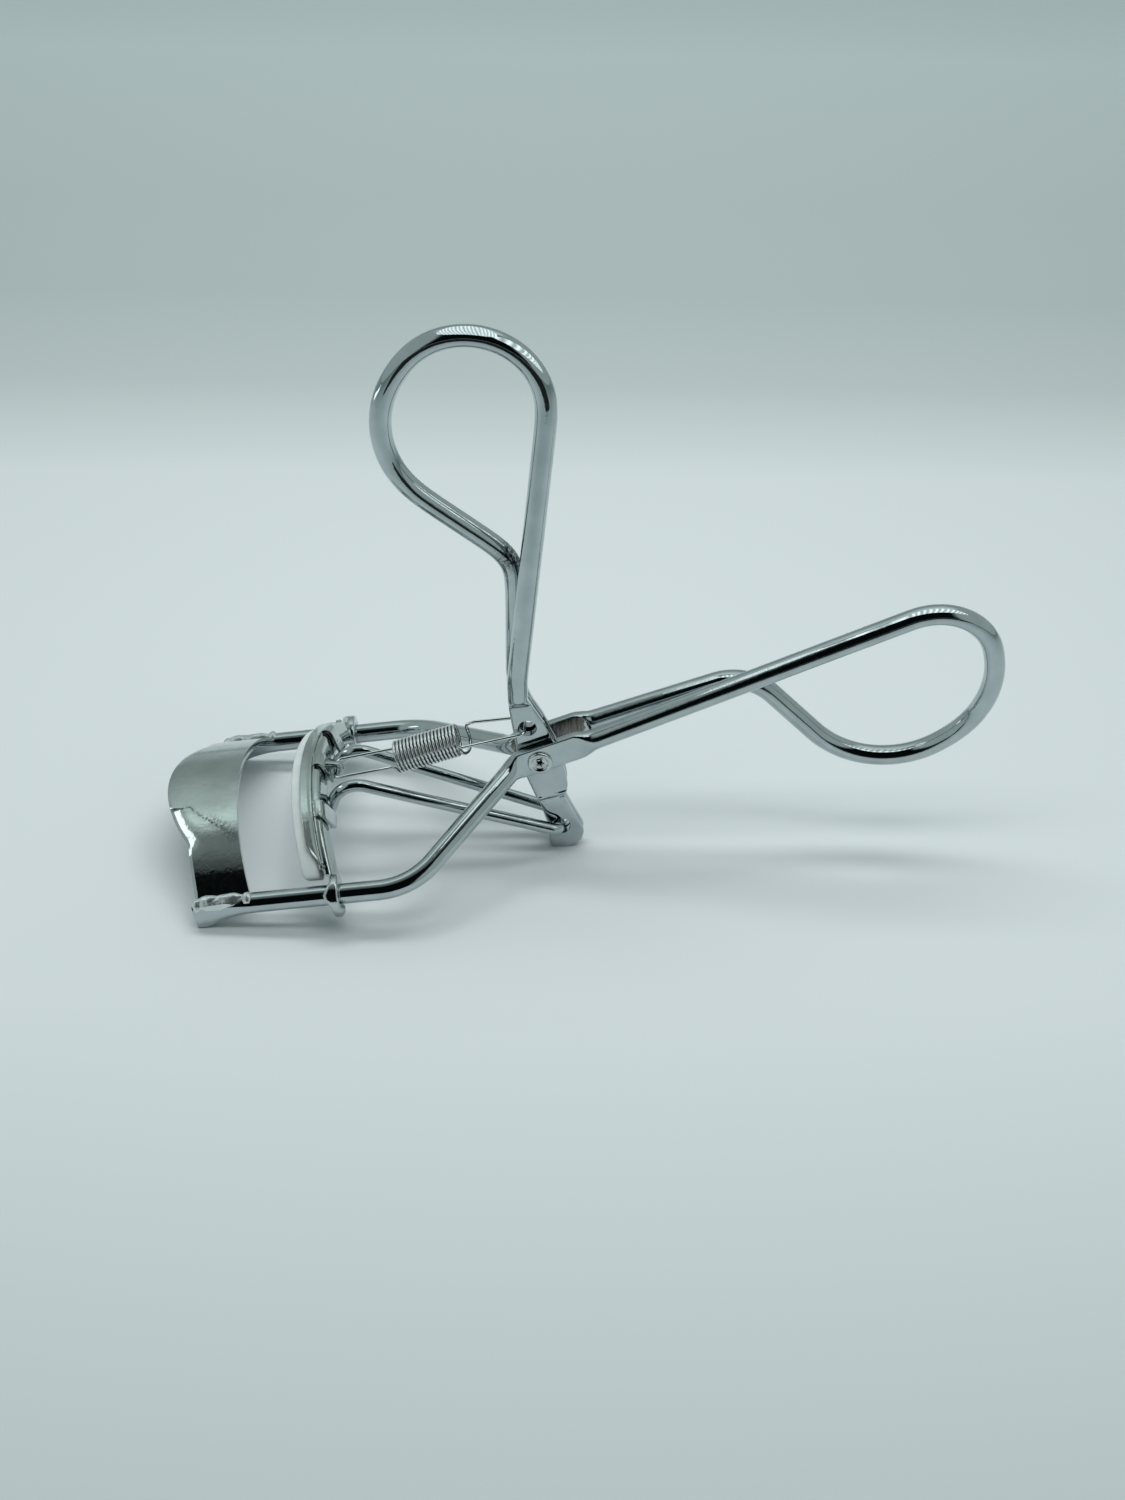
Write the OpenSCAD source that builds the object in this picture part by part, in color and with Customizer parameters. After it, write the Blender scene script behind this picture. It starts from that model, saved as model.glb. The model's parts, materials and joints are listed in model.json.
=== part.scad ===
// Eyelash curler: a bent-wire frame with a fixed jaw, a squeeze lever, and a padded
// slider that two links push along the rails. Millimetres, +Z up, standing on z = 0.
// The metal is laid out with the rails along X, then tilted onto its feet by stand().

/* [Frame wire] */
// Diameter of the frame and lever wire
wire_d = 2.6; // [2.2:0.1:3]
// Distance between the two rails, centre to centre
rail_spacing = 33.5; // [30:0.5:37]
// Length of a rail from its tip to the corner
rail_len = 27; // [25:0.5:30]
// Distance from the rail tips to the pivot
pivot_x = 44; // [42:0.5:47]
// Height of the pivot over the rails
pivot_z = 6.6; // [5.5:0.1:8]
// Rise of the handle arms over the rails
arm_rise = 17.6; // [14:0.2:22]
// Clear gap between the two flattened cheeks
cheek_gap = 3.2; // [3:0.1:3.8]
// Thickness of a flattened cheek
cheek_t = 1.15; // [0.9:0.05:1.5]
// Height of a flattened cheek
cheek_h = 3.7; // [3.3:0.1:4.5]
// Reach of the handle loop's centre behind the pivot
handle_reach = 47; // [42:0.5:52]
// Radius of the handle loop, to the middle of the wire
handle_r = 10.9; // [9.5:0.1:12]

/* [Lever] */
// Height of the lever loop's centre over the pivot
lever_reach = 48.4; // [44:0.2:54]
// Lean of the lever's near leg from upright
lever_lean = 12.5; // [10:0.1:16]
// Radius of the lever loop, to the middle of the wire
lever_r = 9.4; // [8.4:0.1:10.4]
// Thickness of a flattened lever blade
blade_t = 1; // [0.8:0.05:1.1]
// Drop from the pivot to the link hole in the tab
crank_drop = 11.9; // [10.9:0.1:12.9]
// Setback of the link hole behind the pivot
crank_back = 1.4; // [0.8:0.1:2]

/* [Jaws] */
// Height of the jaw arcs over the rails
crest_h = 7; // [6:0.2:8.5]
// Thickness of the fixed jaw's sheet
jaw_t = 0.9; // [0.7:0.05:1.2]
// How far the jaw's crest stands forward of its ends
jaw_bulge = 3.7; // [2.7:0.1:4.7]
// Lean of the edges that face each other
bite_lean = 15.6; // [11:0.1:20]
// Where the jaw's rear edge meets the rails
jaw_back = 7.1; // [6.3:0.1:7.9]
// Open gap between jaw and pad
open_gap = 7.1; // [6.3:0.1:7.6]
// Height of the pad in its holder
pad_h = 2; // [1.6:0.1:2.4]
// How far the pad stands out of its holder
pad_out = 1.5; // [1.1:0.1:1.8]
// Sheet thickness of the pad holder
holder_t = 0.5; // [0.4:0.05:0.6]
// Thickness of the slider plate
plate_t = 1.1; // [0.9:0.05:1.4]

/* [Links and spring] */
// Diameter of the link wire
link_d = 1.6; // [1.4:0.05:1.7]
// Diameter of the spring wire
spring_wire = 0.42; // [0.35:0.01:0.45]
// Mean diameter of the spring coil
spring_d = 3.6; // [3.2:0.1:4]
// Number of curls in the coil
spring_curls = 11; // [9:1:11]
// Diameter of a rivet's shank
rivet_d = 1.9; // [1.7:0.1:2.2]

/* [Fits] */
// Running clearance on a radius
fit = 0.06; // [0.04:0.01:0.1]
// Side clearance between pieces that pass each other
side_gap = 0.15; // [0.12:0.01:0.25]
// Play of the links in the lever tabs
tab_play = 0.45; // [0.42:0.01:0.5]

/* [Hidden] */
$fn = 64;

// Wire and plate layout
wire_r = wire_d / 2;
rail_y = rail_spacing / 2;
swell = 0.02;
lap = 0.1;
cheek_in = cheek_gap / 2;
cheek_y = cheek_in + cheek_t / 2;
blade_out = cheek_in - side_gap;
blade_in = blade_out - blade_t;
leg_y = wire_r + 0.02;
tab_jog = 0.25;
tab_out = blade_out - tab_jog;
pivot = [pivot_x, pivot_z];

// Jaw arcs: one circle through both rails and the crest
arc_r = (rail_y * rail_y + crest_h * crest_h) / (2 * crest_h);
arc_z = crest_h - arc_r;
jaw_front = -0.5;
jaw_plan_r = 17.7;
pad_front = jaw_back + open_gap;
holder_front = pad_front + pad_out;
holder_depth = 1.35;
holder_back = holder_front + holder_depth;
plate_back = holder_back + plate_t;
holder_h = pad_h + 2 * holder_t;
holder_half = asin((rail_y - 2.25) / arc_r);
pad_half = holder_half + 2.4;
ear_r = 2.6;
lug_r = arc_r + holder_h / 2 + 0.4;
lug_turn = 19.5;
lug_half = 1.1;
lug_reach = 0.9;

// Handle: the near arm runs out along arm_rise, round the loop and back as the far arm
arm_dir = [cos(arm_rise), sin(arm_rise)];
arm_start = pivot + [6.2, 6.2 * tan(arm_rise)];
handle_c = pivot + [handle_reach, handle_reach * tan(arm_rise) - 1.02 * handle_r];
handle_far = pivot + handle_reach * [0.583, 0.151];
arms_path = [at_y(arm_start, -cheek_y), at_y(handle_c + handle_r * [0.862, 1.276], -1.4),
  at_y(handle_c + handle_r * [1.094, -0.387], -0.4), at_y(handle_c + handle_r * [-0.446, -1.367], 0.9),
  at_y(handle_far, cheek_y + 0.05), at_y(arm_start, cheek_y)];
arms_bend = [0, 0.73 * handle_r, 1.19 * handle_r, 1.12 * handle_r, 7.1, 0];

// Lever: the near leg leans back from the neck, round the loop and down as the far leg
neck = pivot + [-1.7, 10.6];
leg_top = neck + (lever_reach - 10.6 + 0.66 * lever_r) * [tan(lever_lean), 1];
lever_c = leg_top - lever_r * [1.156, 0.66];
lever_path = [at_y(neck, -leg_y), at_y(leg_top, -1), at_y(lever_c + lever_r * [-0.23, 1.264], -0.3),
  at_y(lever_c + lever_r * [-1.509, -0.287], 0.5), at_y(lever_c + [2.6, -20.8], leg_y), at_y(neck, leg_y)];
lever_bend = [0, 0.83 * lever_r, lever_r, 1.31 * lever_r, 4.8, 0];

// Links
link_r = link_d / 2;
tab_hole = pivot + [crank_back, -crank_drop];
tab_hole_r = link_r + tab_play;
leaf_hole = [plate_back - 2, 2.8];
link_front_y = 3.9;
link_rear_y = tab_out + 0.2 + link_r;
leaf_in = link_front_y + link_r + 0.2;
leaf_t = 0.8;
notch_half = link_r + 0.35;
arm_top = leaf_hole + [2.5, 4.95];

// Feet: the line under the rail tips and the lever tabs is the table
tip_drop = 2.6;
foot_x = tab_hole[0] - 0.5;
foot_drop = crank_drop - pivot_z + 3.55;
stand_tilt = atan((foot_drop - tip_drop) / foot_x);
lift = tip_drop * cos(stand_tilt);
front_x = on_table([jaw_front - jaw_bulge, crest_h + jaw_t / 2])[0];
handle_back = elbow_centre(arms_path, 2, arms_bend);
back_x = on_table([handle_back[0], handle_back[2]])[0] + arms_bend[2] + wire_r + swell;
mid_x = (front_x + back_x) / 2;

// Spring run from the slider tab to the lever blades
hook_front = [plate_back - 0.6, 6.8];
hook_hole_r = 0.55;
blade_hole = pivot + [-0.9, 4.1];
blade_hole_r = 1;
hook_rear = blade_hole + [-0.55, 0];
spring_run = norm(hook_rear - hook_front);
spring_rise = atan((hook_rear[1] - hook_front[1]) / (hook_rear[0] - hook_front[0]));
spring_r = spring_d / 2;
coil_len = spring_curls * (spring_wire + 0.45);
coil_start = (spring_run - coil_len) / 2;
coil_end = coil_start + coil_len;
hook_bend = 0.7;

echo(stand_tilt = stand_tilt, mid_x = mid_x, lift = lift);
echo(pivot = on_table(pivot), leaf_hole = on_table(leaf_hole), tab_hole = on_table(tab_hole));
echo(hook_front = on_table(hook_front), hook_rear = on_table(hook_rear));
echo(least_gap_of_spring_to_itself = spring_gap());

function on_table(p) = [p[0] * cos(stand_tilt) - p[1] * sin(stand_tilt),
  p[0] * sin(stand_tilt) + p[1] * cos(stand_tilt) + lift];
function unit(v) = v / norm(v);
function at_y(p, y) = [p[0], y, p[1]];
function turn(a, b) = acos(max(-1, min(1, unit(a) * unit(b))));
function setback(p, i, bend) = bend[i] * tan(turn(p[i] - p[i - 1], p[i + 1] - p[i]) / 2);
function elbow_centre(p, i, bend) = let (u1 = unit(p[i] - p[i - 1]), u2 = unit(p[i + 1] - p[i]))
  p[i] + unit(u2 - u1) * bend[i] / cos(turn(u1, u2) / 2);
function inner(p, i) = i > 0 && i < len(p) - 1;
function reach(p, i, bend) = inner(p, i) ? setback(p, i, bend) - lap : 0;

// Everything is laid out with level rails, then tilted onto its feet
module stand() {
  translate([-mid_x, 0, lift]) rotate([0, -stand_tilt, 0]) children();
}

// The space under the table, in the rails' own layout
module under_table() {
  rotate([0, stand_tilt, 0]) translate([-100, -100, -100 - lift]) cube([300, 200, 100]);
}

// A shape drawn in X and Z, from y to y + t
module plate(y, t) {
  translate([0, y + t, 0]) rotate([90, 0, 0]) linear_extrude(t) children();
}

// A cutter for a cross hole at p, as far as half on each side of the middle
module bore(p, r, half) translate(at_y(p, half)) rotate([90, 0, 0]) cylinder(r = r, h = 2 * half);

// A bar with round ends, drawn flat
module bar(a, b, h) {
  d = b - a;
  translate(a) circle(d = h);
  translate(b) circle(d = h);
  translate(a) rotate(atan2(d[1], d[0])) translate([0, -h * 0.49]) square([norm(d), h * 0.98]);
}

// Turns what is drawn along Z so that it runs from a towards b
module along(a, b) {
  z = unit(b - a);
  x = unit(cross(abs(z[1]) < 0.9 ? [0, 1, 0] : [1, 0, 0], z));
  y = cross(z, x);
  multmatrix([[x[0], y[0], z[0], a[0]], [x[1], y[1], z[1], a[1]], [x[2], y[2], z[2], a[2]]]) children();
}

// A straight run of round wire
module rod(a, b, r) along(a, b) cylinder(r = r, h = norm(b - a));

// One bend, a hair fuller than the straight runs that lap into it
module elbow(p, i, bend, r) {
  u1 = unit(p[i] - p[i - 1]);
  u2 = unit(p[i + 1] - p[i]);
  a = turn(u1, u2);
  s = p[i] - u1 * setback(p, i, bend);
  c = elbow_centre(p, i, bend);
  x = unit(s - c);
  z = unit(cross(u1, u2));
  y = cross(z, x);
  multmatrix([[x[0], y[0], z[0], c[0]], [x[1], y[1], z[1], c[1]], [x[2], y[2], z[2], c[2]]])
    rotate_extrude(angle = a) translate([bend[i], 0]) circle(r = r + swell);
}

// Bent wire through corner points, each with its bend radius
module wire(p, bend, r) {
  for (i = [0 : len(p) - 2]) {
    d = unit(p[i + 1] - p[i]);
    rod(p[i] + d * reach(p, i, bend), p[i + 1] - d * reach(p, i + 1, bend), r);
  }
  for (i = [1 : len(p) - 2]) elbow(p, i, bend, r);
}

// Round wire from the knee a that thins out inside a plate of thickness t at b
module flattened(a, b, t) along(a, b) {
  sphere(r = wire_r + swell);
  cylinder(r1 = wire_r - 2 * swell, r2 = t * 0.45, h = norm(b - a));
}

// A strip bent round the jaw circle, as wide as x_low to x_high along the rails
module arc_strip(r_in, r_out, half, x_low, x_high) {
  translate([0, 0, arc_z]) rotate([0, 90, 0]) rotate([0, 0, 180 - half])
    rotate_extrude(angle = 2 * half) translate([r_in, x_low]) square([r_out - r_in, x_high - x_low]);
}

// A slab between two leaning planes that cross the rails at x_low and x_high
module leaning_slab(x_low, x_high, lean) {
  translate([x_low, 0, 0]) rotate([0, -lean, 0]) translate([0, -60, -60])
    cube([(x_high - x_low) * cos(lean), 120, 120]);
}

// An arc strip cut by the leaning planes of the bite
module bite_strip(r_in, r_out, half, x_low, x_high) {
  intersection() {
    arc_strip(r_in, r_out, half, x_low - 6, x_high + 6);
    leaning_slab(x_low, x_high, bite_lean);
  }
}

// The two rails, as cutters
module rails(r) {
  for (s = [-1, 1]) translate([-20, s * rail_y, 0]) rotate([0, 90, 0]) cylinder(r = r, h = 60);
}

// The frame wire: two rails that close in on the pivot, flattened cheeks, arms and loop
hip = pivot + [-4, -0.95];
hip_y = cheek_y + 0.8;
module frame_wire() color("Silver") stand() difference() {
  union() {
    wire(arms_path, arms_bend, wire_r);
    for (s = [-1, 1]) {
      wire([[-0.3, s * rail_y, 0], [rail_len, s * rail_y, 0], at_y(hip, s * hip_y)], [0, 9, 0], wire_r);
      // wire flattening into the cheek from the front and from behind
      flattened(at_y(hip, s * hip_y), at_y(pivot + [-1.8, -0.4], s * cheek_y), cheek_t);
      flattened(at_y(arm_start, s * cheek_y), at_y(pivot + arm_dir * 2.6, s * cheek_y), cheek_t);
      // flattened cheek at the pivot
      plate(s * cheek_y - cheek_t / 2, cheek_t) bar(pivot + [-2.8, -0.75], pivot + arm_dir * 5.2, cheek_h);
      // flattened, flared rail tip that stands on the table
      plate(s * rail_y - 0.95, 1.9)
        polygon([[-0.5, 0.8], [-0.2, -tip_drop - 0.4], [0.7, -tip_drop - 0.4], [2.8, -1.8], [6.5, -0.8], [6.5, 0.8]]);
    }
  }
  // inner faces of the cheeks, and room for the rivet heads
  translate([pivot_x - 5.5, -cheek_in, pivot_z - 6]) cube([12.1, cheek_gap, 12]);
  bore(pivot, rivet_d / 2, cheek_in + cheek_t + 1);
  for (s = [-1, 1]) translate([pivot_x, s * (cheek_in + cheek_t), pivot_z]) rotate([-90 * s, 0, 0])
    cylinder(r = 1.75, h = 5);
  under_table();
}

module fixed_jaw() color("Silver") stand() difference() {
  intersection() {
    arc_strip(arc_r - jaw_t / 2, arc_r + jaw_t / 2, asin(rail_y / arc_r), -12, 12);
    union() {
      translate([jaw_front, -60, -20]) cube([60, 120, 40]);
      translate([jaw_front - jaw_bulge + jaw_plan_r, 0, -20]) cylinder(r = jaw_plan_r, h = 40, $fn = 128);
    }
    leaning_slab(-40, jaw_back, bite_lean);
  }
  rails(wire_r);
}

// Bead of braze in the corner between jaw and rail
module jaw_braze(s) color("Silver") stand() difference() {
  translate([3.1, s * (rail_y - 0.15), wire_r - 0.1]) rotate([0, 90, 0]) rotate_extrude()
    polygon([[0, -3.3], [0.35, -3.3], [0.6, -2.7], [0.6, 2.7], [0.35, 3.3], [0, 3.3]]);
  arc_strip(arc_r - jaw_t / 2, arc_r + jaw_t / 2, asin(rail_y / arc_r), -12, 12);
  arc_strip(arc_r - 4, arc_r - jaw_t / 2, asin(rail_y / arc_r), -12, 12);
  rails(wire_r);
}
module near_jaw_braze() jaw_braze(-1);
module far_jaw_braze() jaw_braze(1);

// Tubular rivet with a rolled head outside and a flare inside
module rivet(s) color("Silver") stand() translate([pivot_x, 0, pivot_z]) rotate([-90 * s, 0, 0])
  rotate_extrude() polygon([[0.45, blade_in - 0.3], [1.3, blade_in - 0.3], [1.3, blade_in - 0.06],
    [rivet_d / 2, blade_in - 0.06], [rivet_d / 2, cheek_in + cheek_t], [1.55, cheek_in + cheek_t],
    [1.55, cheek_in + cheek_t + 0.25], [1.35, cheek_in + cheek_t + 0.42],
    [0.9, cheek_in + cheek_t + 0.42], [0.45, cheek_in + cheek_t + 0.05]]);
module near_rivet() rivet(-1);
module far_rivet() rivet(1);

module blade_outline() {
  polygon([[-2.9, 7.2], [-0.2, 7.9], [1.5, 4.9], [2.3, 2.4], [2.7, -2.5], [2.9, -4.6], [2.5, -6.6],
    [-1, -7], [-1.9, -3.2], [-2.9, 0.5]]);
}
module tab_outline() {
  polygon([[-1.5, 5.6], [1.2, 5.6], [3.1, 0], [2.7, -1.6], [1.6, -3], [0.4, -4], [-1.5, -4], [-1.8, -1.4],
    [-1.5, 2.5]]);
}

module lever_wire() color("Silver") stand() difference() {
  union() {
    wire(lever_path, lever_bend, wire_r);
    for (s = [-1, 1]) {
      // neck where the round wire flattens into the blade
      flattened(at_y(neck, s * leg_y), at_y(pivot + [-1.4, 5.6], s * (blade_out - blade_t / 2)), blade_t);
      plate(s > 0 ? blade_in : -blade_out, blade_t) translate(pivot) blade_outline();
      plate(s > 0 ? blade_in - tab_jog : -tab_out, blade_t) translate(tab_hole) tab_outline();
    }
  }
  bore(pivot, rivet_d / 2 + fit, blade_out + 1);
  bore(tab_hole, tab_hole_r, blade_out + 1);
  bore(blade_hole, blade_hole_r, blade_out + 1);
  under_table();
}

// Link from the slider leaf to the lever tab, with a pin bent at each end
module link(s) color("Silver") stand()
  wire([at_y(leaf_hole, s * (leaf_in + leaf_t + 0.4)), at_y(leaf_hole, s * link_front_y),
    at_y(arm_top, s * (link_front_y - 0.1)), at_y(tab_hole, s * link_rear_y), at_y(tab_hole, s * 0.2)],
    [0, 0.95, 3.3, 1, 0], link_r);
module near_link() link(-1);
module far_link() link(1);

module slider_plate() color("Silver") stand() difference() {
  union() {
    // strip across the back of the holder
    bite_strip(arc_r - holder_h / 2, arc_r + holder_h / 2, asin((rail_y - 1.6) / arc_r), holder_back, plate_back);
    for (s = [-1, 1]) {
      // eye that runs on the rail
      translate([holder_back - 0.1, s * rail_y, 0]) rotate([0, 90, 0]) cylinder(r = ear_r, h = plate_t + 0.1);
      // leaf that carries a link pin
      plate(s > 0 ? leaf_in : -leaf_in - leaf_t, leaf_t) {
        translate(leaf_hole + [-0.2, 0.3]) circle(r = link_r + 0.85);
        translate([holder_back - 1.25, leaf_hole[1]]) square([0.9, 2.8]);
      }
    }
    // tab for the spring hook
    plate(-0.4, 0.8) translate(hook_front) {
      circle(r = 1.1);
      translate([-1.9, -0.9]) square([1.9, 1.8]);
    }
    // lugs folded over the top of the holder
    for (a = [-lug_turn, 0, lug_turn]) intersection() {
      union() {
        bite_strip(arc_r + holder_h / 2, lug_r, lug_turn + 5, holder_back - lug_reach, plate_back);
        bite_strip(arc_r, lug_r, lug_turn + 5, holder_back, plate_back);
      }
      translate([0, 0, arc_z]) rotate([a, 0, 0]) translate([-50, -lug_half, 0]) cube([100, 2 * lug_half, arc_r + 9]);
    }
  }
  rails(wire_r + fit);
  // notches for the links' front bends
  for (s = [-1, 1]) translate([holder_back - 3, s * (link_front_y - 0.05) - notch_half, 0])
    cube([6, 2 * notch_half, crest_h - 0.6]);
  bore(leaf_hole, link_r + fit, leaf_in + leaf_t + 1);
  bore(hook_front, hook_hole_r, leaf_t);
}

module pad_holder() color("Silver") stand() difference() {
  bite_strip(arc_r - holder_h / 2, arc_r + holder_h / 2, holder_half, holder_front, holder_back);
  bite_strip(arc_r - pad_h / 2, arc_r + pad_h / 2, pad_half + 2, holder_front - 2, holder_back - holder_t);
}

module lash_pad() color("White") stand()
  bite_strip(arc_r - pad_h / 2, arc_r + pad_h / 2, pad_half, pad_front, holder_back - holder_t);

// Spring centre line: points [along, across, up], each with its outward direction
function hook_corner(c, a0) = [for (i = [0 : 3]) let (a = a0 + 30 * i, n = [cos(a), sin(a), 0])
  [[c[0], c[1], 0] + hook_bend * n, n]];
function coil_pt(a) = [[coil_start + coil_len * (a - 180) / (360 * spring_curls),
  spring_r * cos(a), spring_r * sin(a)], [0, cos(a), sin(a)]];
function side_pt(x, y, z = 0) = [[x, y, z], [0, sign(y), 0]];
coil_steps = spring_curls * 8;
hook_in = spring_r - hook_bend;
spring_line = concat(
  [side_pt(coil_start - 1, spring_r)], hook_corner([hook_bend, hook_in], 90),
  hook_corner([hook_bend, -hook_in], 180),
  [side_pt(coil_start - 0.45, -spring_r), side_pt(coil_start - 0.13, -spring_r, -0.13)],
  [for (i = [0 : coil_steps]) coil_pt(195 + (360 * spring_curls - 30) * i / coil_steps)],
  [side_pt(coil_end + 0.13, -spring_r, 0.13), side_pt(coil_end + 0.45, -spring_r)],
  hook_corner([spring_run - hook_bend, -hook_in], 270),
  hook_corner([spring_run - hook_bend, hook_in], 0), [side_pt(coil_end + 1, spring_r)]);
spring_n = len(spring_line);
spring_sides = 6;
function spring_dir(i) = unit(spring_line[min(i + 1, spring_n - 1)][0] - spring_line[max(i - 1, 0)][0]);
function spring_ring(i) = let (p = spring_line[i], t = spring_dir(i), b = unit(cross(t, p[1])), n = cross(b, t))
  [for (j = [0 : spring_sides - 1]) let (a = 360 * j / spring_sides)
    p[0] + spring_wire / 2 * (n * cos(a) + b * sin(a))];
function spring_gap() = min([for (i = [0 : spring_n - 7]) for (j = [i + 6 : spring_n - 1])
  norm(spring_line[i][0] - spring_line[j][0])]) - spring_wire;

module return_spring() color("Silver") stand()
  translate(at_y(hook_front, 0)) rotate([0, -spring_rise, 0]) polyhedron(
    points = [for (i = [0 : spring_n - 1]) each spring_ring(i)],
    faces = concat(
      [for (i = [0 : spring_n - 2]) for (j = [0 : spring_sides - 1]) let (k = (j + 1) % spring_sides)
        each [[i * spring_sides + j, (i + 1) * spring_sides + k, i * spring_sides + k],
          [i * spring_sides + j, (i + 1) * spring_sides + j, (i + 1) * spring_sides + k]]],
      [for (j = [1 : spring_sides - 2]) [0, j, j + 1]],
      [for (j = [1 : spring_sides - 2]) let (e = (spring_n - 1) * spring_sides) [e, e + j + 1, e + j]]));

frame_wire();
fixed_jaw();
near_jaw_braze();
far_jaw_braze();
near_rivet();
far_rivet();
lever_wire();
near_link();
far_link();
slider_plate();
pad_holder();
lash_pad();
return_spring();
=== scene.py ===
import json
import math

import bpy
from mathutils import Matrix, Vector, noise


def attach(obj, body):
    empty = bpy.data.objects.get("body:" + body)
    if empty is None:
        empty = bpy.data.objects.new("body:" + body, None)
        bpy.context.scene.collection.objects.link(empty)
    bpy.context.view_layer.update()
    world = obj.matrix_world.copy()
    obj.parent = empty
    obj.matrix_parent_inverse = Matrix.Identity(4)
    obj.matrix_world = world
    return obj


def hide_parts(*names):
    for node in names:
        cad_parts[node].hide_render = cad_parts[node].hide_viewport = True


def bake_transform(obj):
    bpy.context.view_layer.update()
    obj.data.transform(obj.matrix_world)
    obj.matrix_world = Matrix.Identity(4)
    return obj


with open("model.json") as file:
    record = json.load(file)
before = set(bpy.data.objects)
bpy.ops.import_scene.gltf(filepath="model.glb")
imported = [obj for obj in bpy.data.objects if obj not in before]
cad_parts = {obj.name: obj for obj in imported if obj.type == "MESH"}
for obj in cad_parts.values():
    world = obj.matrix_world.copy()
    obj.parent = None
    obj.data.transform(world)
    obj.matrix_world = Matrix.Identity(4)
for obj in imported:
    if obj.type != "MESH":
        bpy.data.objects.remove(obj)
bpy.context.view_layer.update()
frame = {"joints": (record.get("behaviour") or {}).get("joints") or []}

# Lengths are millimetres in the rails' own layout: x runs along the rails from their tips to the
# handle, y across them, z up from the plane of their centres. stand() tilts a piece onto its feet.
MM = 0.001
joints = {joint["name"]: joint for joint in frame["joints"]}
rail_dir = -Vector(joints["slider_slide"]["axis"])
stand_tilt = math.atan2(rail_dir.z, rail_dir.x)
PIVOT = Vector((44, 0, 6.6))
lay_flat = Matrix.Rotation(-stand_tilt, 4, "Y") @ Matrix.Scale(MM, 4)
standing = Matrix.Translation(Vector(joints["lever_pivot"]["pos_m"]) - lay_flat @ PIVOT) @ lay_flat

# Wire and sheet
WIRE_R = 1.3
WIRE_SIDES = 32
RAIL_Y = 16.75
CHEEK_IN = 1.6
CHEEK_T = 1.15
CHEEK_H = 3.7
CHEEK_Y = CHEEK_IN + CHEEK_T / 2
LEG_Y = 1.32
BLADE_T = 1
BLADE_Y = 0.95
TAB_Y = 0.7
LINK_R = 0.8
LINK_SIDES = 24
TAB_HOLE = PIVOT + Vector((1.4, 0, -11.9))
LEAF_HOLE = Vector((16.15, 0, 2.8))
HOOK_FRONT = Vector((17.55, 0, 6.8))
BLADE_HOLE = PIVOT + Vector((-0.9, 0, 4.1))
HOOK_REAR = BLADE_HOLE + Vector((-0.55, 0, 0))

# Radii of the holes across the wires and the slider, and half the length of their cutters
CHEEK_HOLE_R = 0.97
BLADE_PIVOT_R = 1
TAB_HOLE_R = LINK_R + 0.47
HOOK_HOLE_R = 0.7
HOOK_SINK_R = 1.2
LEAF_HOLE_R = LINK_R + 0.06
SPRING_HOLE_R = 0.55
CUT_HALF = 4
SINK_HALF = 1.5

# Jaws: one circle through both rails and the crest, and edges that lean towards the tips
ARC_R = 23.54
ARC_Z = -16.54
BITE_LEAN = math.tan(math.radians(15.6))
JAW_T = 0.75
JAW_EDGE = 0.14
JAW_TOP = ARC_R + 0.45
JAW_BACK = 7.1
JAW_HALF = math.radians(43.8)
PLAN_R = 17.7
PLAN_X = 13.5
PAD_FRONT = 14.2
HOLDER_FRONT = 15.7
HOLDER_BACK = 17.05
PLATE_BACK = 18.15
PLATE_X = (HOLDER_BACK + PLATE_BACK) / 2
PLATE_HALF = (PLATE_BACK - HOLDER_BACK) / 2
HOLDER_HALF = math.radians(38)
PAD_HALF = math.radians(40.4)
PAD_BACK = HOLDER_BACK - 0.55
CHANNEL_H = 1.5
CHANNEL_T = 0.42
LUG_ANGLE = math.radians(19.5)
LUG_T = 0.45
STRIP_SIDES = 24


# Small helpers for modelling

def only(piece):
    """Selects one object and makes it the active one."""
    bpy.ops.object.select_all(action="DESELECT")
    piece.select_set(True)
    bpy.context.view_layer.objects.active = piece


def apply_modifier(piece, kind, **settings):
    """Adds a modifier to a piece, sets it up and applies it."""
    only(piece)
    modifier = piece.modifiers.new(kind.title(), kind)
    for name, value in settings.items():
        setattr(modifier, name, value)
    bpy.ops.object.modifier_apply(modifier=modifier.name)


def smooth(piece, angle):
    """Smooth shading that keeps edges sharper than the angle."""
    only(piece)
    bpy.ops.object.shade_smooth_by_angle(angle=math.radians(angle))


def ramp(value, start, end):
    """Eases from 0 at start to 1 at end."""
    t = min(1, max(0, (value - start) / (end - start)))
    return t * t * (3 - 2 * t)


def follow(value, stations):
    """A smooth curve through (place, height) stations in rising order."""
    places = [station[0] for station in stations]
    heights = [station[1] for station in stations]
    if value <= places[0]:
        return heights[0]
    if value >= places[-1]:
        return heights[-1]
    i = max(k for k in range(len(places) - 1) if places[k] <= value)

    def slope(k):
        low, high = max(k - 1, 0), min(k + 1, len(places) - 1)
        return (heights[high] - heights[low]) / (places[high] - places[low])

    span = places[i + 1] - places[i]
    t = (value - places[i]) / span
    return ((2 * t ** 3 - 3 * t ** 2 + 1) * heights[i] + (t ** 3 - 2 * t ** 2 + t) * span * slope(i)
            + (3 * t ** 2 - 2 * t ** 3) * heights[i + 1] + (t ** 3 - t ** 2) * span * slope(i + 1))


def trace(value, stations):
    """Straight runs through (place, height) stations, with each corner eased over a short way."""
    reach = 0.35
    places = [station[0] for station in stations]
    total = 0
    for shift in (-1, -0.5, 0, 0.5, 1):
        at = min(places[-1], max(places[0], value + shift * reach))
        i = max(k for k in range(len(places) - 1) if places[k] <= at)
        share = (at - places[i]) / (places[i + 1] - places[i])
        total += stations[i][1] + (stations[i + 1][1] - stations[i][1]) * share
    return total / 5


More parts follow.
